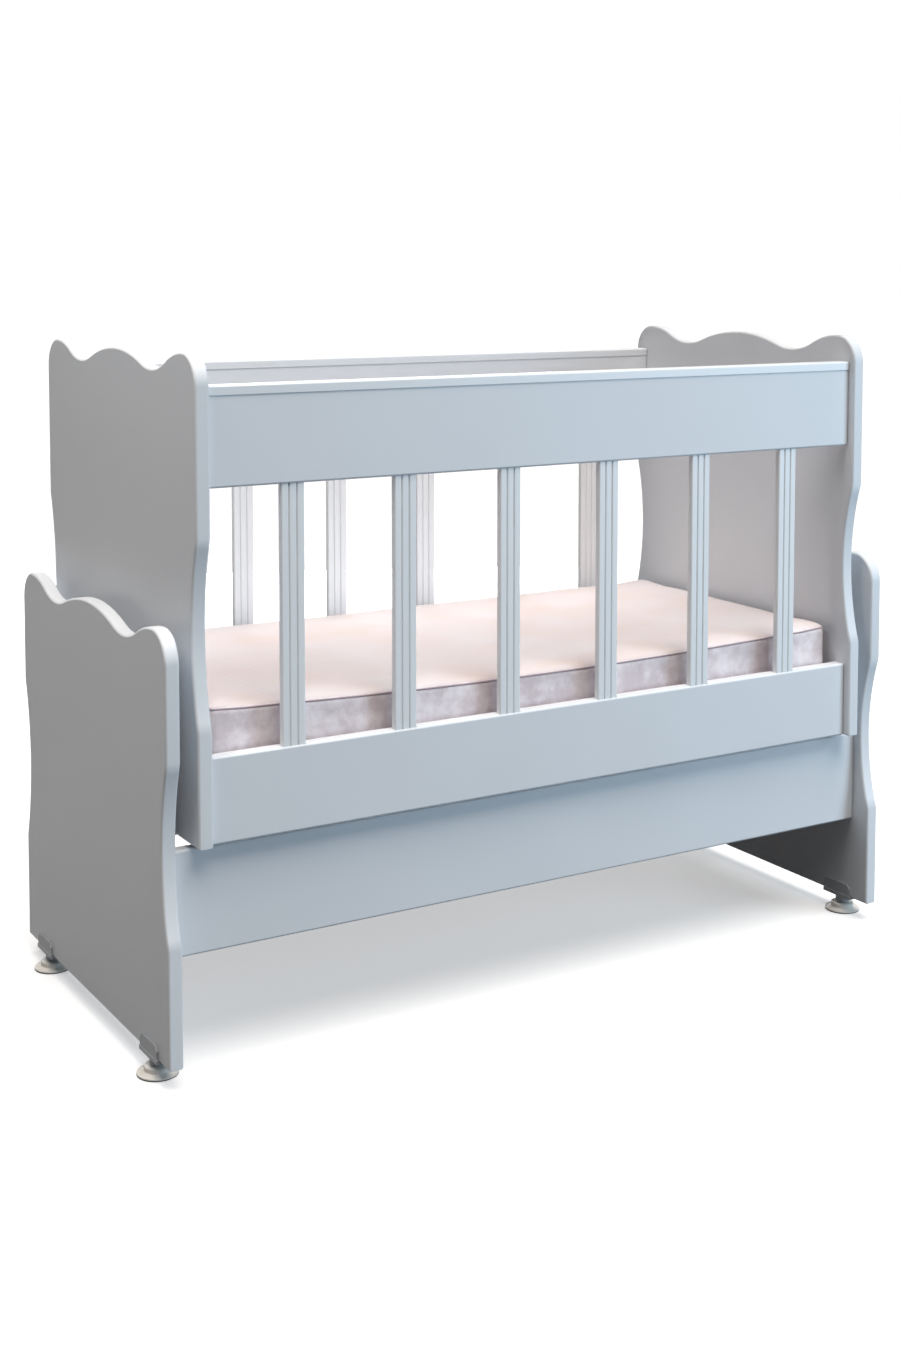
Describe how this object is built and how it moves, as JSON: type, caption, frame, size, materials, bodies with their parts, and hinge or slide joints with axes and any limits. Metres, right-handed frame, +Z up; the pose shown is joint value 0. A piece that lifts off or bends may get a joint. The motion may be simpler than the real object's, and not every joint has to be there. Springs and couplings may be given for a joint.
{
  "type": "bedside cradle",
  "caption": "Slatted cradle with a mattress that swings level on hanger links between the two scalloped end boards of a low stand on levelling feet.",
  "frame": {"origin": "on the floor under the middle of the cradle", "axes": "+X along the length to the right as seen from the front, +Y to the rear, +Z up; the front of the object faces -Y"},
  "size_m": [1.105, 0.5, 0.8345],
  "materials": {
    "white_board": "smooth white foil on fibreboard, satin",
    "white_slat": "white lacquer on reeded hardwood, satin",
    "edge_cap": "white extruded plastic, satin",
    "mattress_cover": "printed cotton with piped seams",
    "bare_wood": "planed beech, unfinished",
    "white_plastic": "moulded, fine grain",
    "foot_plastic": "moulded, fine grain",
    "plated_steel": "bright zinc plate",
    "bearing_steel": "ground and polished",
    "cast_zinc": "die cast, dull",
    "link_alloy": "tumbled, satin"
  },
  "bodies": {
    "stand": {"stand_end_left": "white_board", "stand_end_right": "white_board", "stretcher_front": "white_board", "stretcher_rear": "white_board", "stand_cam_bolts": "plated_steel", "stand_cam_locks": "cast_zinc", "stand_dowels": "bare_wood", "stand_pivot_plates": "plated_steel", "stand_pivot_nuts": "plated_steel", "foot_clip_front_left": "white_plastic", "foot_clip_front_right": "white_plastic", "foot_clip_rear_left": "white_plastic", "foot_clip_rear_right": "white_plastic"},
    "links_front": {"hanger_link_front_left": "link_alloy", "hanger_link_front_right": "link_alloy", "bearings_front": "bearing_steel"},
    "links_rear": {"hanger_link_rear_left": "link_alloy", "hanger_link_rear_right": "link_alloy", "bearings_rear": "bearing_steel"},
    "cradle": {"cradle_end_left": "white_board", "cradle_end_right": "white_board", "top_rail_front": "white_board", "top_rail_rear": "white_board", "bottom_rail_front": "white_board", "bottom_rail_rear": "white_board", "rail_cap_front": "edge_cap", "rail_cap_rear": "edge_cap", "cleat_front": "bare_wood", "cleat_rear": "bare_wood", "slat_front_1": "white_slat", "slat_front_2": "white_slat", "slat_front_3": "white_slat", "slat_front_4": "white_slat", "slat_front_5": "white_slat", "slat_front_6": "white_slat", "slat_rear_1": "white_slat", "slat_rear_2": "white_slat", "slat_rear_3": "white_slat", "slat_rear_4": "white_slat", "slat_rear_5": "white_slat", "slat_rear_6": "white_slat", "mattress": "mattress_cover", "base_slats": "bare_wood", "base_battens": "bare_wood", "cradle_cam_bolts": "plated_steel", "cradle_cam_locks": "cast_zinc", "cradle_dowels": "bare_wood", "cradle_pivot_plates": "plated_steel", "cradle_pivot_nuts": "plated_steel"},
    "foot_front_left": {"levelling_foot_front_left": "foot_plastic"},
    "foot_front_right": {"levelling_foot_front_right": "foot_plastic"},
    "foot_rear_left": {"levelling_foot_rear_left": "foot_plastic"},
    "foot_rear_right": {"levelling_foot_rear_right": "foot_plastic"}
  },
  "joints": [
    {"name": "swing", "type": "hinge", "parent": "stand", "child": "links_front", "pos_m": [0, -0.15, 0.43], "axis": [1, 0, 0], "range_deg": [-20, 20]},
    {"name": "cradle_stays_level", "type": "hinge", "parent": "links_front", "child": "cradle", "pos_m": [0, -0.15, 0.33], "axis": [1, 0, 0], "range_deg": [-20, 20]},
    {"name": "rear_links_swing", "type": "hinge", "parent": "stand", "child": "links_rear", "pos_m": [0, 0.15, 0.43], "axis": [1, 0, 0], "range_deg": [-20, 20]},
    {"name": "level_foot_front_left", "type": "slide", "parent": "stand", "child": "foot_front_left", "axis": [0, 0, -1], "range_m": [0, 0.01]},
    {"name": "level_foot_front_right", "type": "slide", "parent": "stand", "child": "foot_front_right", "axis": [0, 0, -1], "range_m": [0, 0.01]},
    {"name": "level_foot_rear_left", "type": "slide", "parent": "stand", "child": "foot_rear_left", "axis": [0, 0, -1], "range_m": [0, 0.01]},
    {"name": "level_foot_rear_right", "type": "slide", "parent": "stand", "child": "foot_rear_right", "axis": [0, 0, -1], "range_m": [0, 0.01]}
  ],
  "couplings": [
    {"joint": "cradle_stays_level", "follows": "swing", "ratio": -1},
    {"joint": "rear_links_swing", "follows": "swing", "ratio": 1}
  ]
}
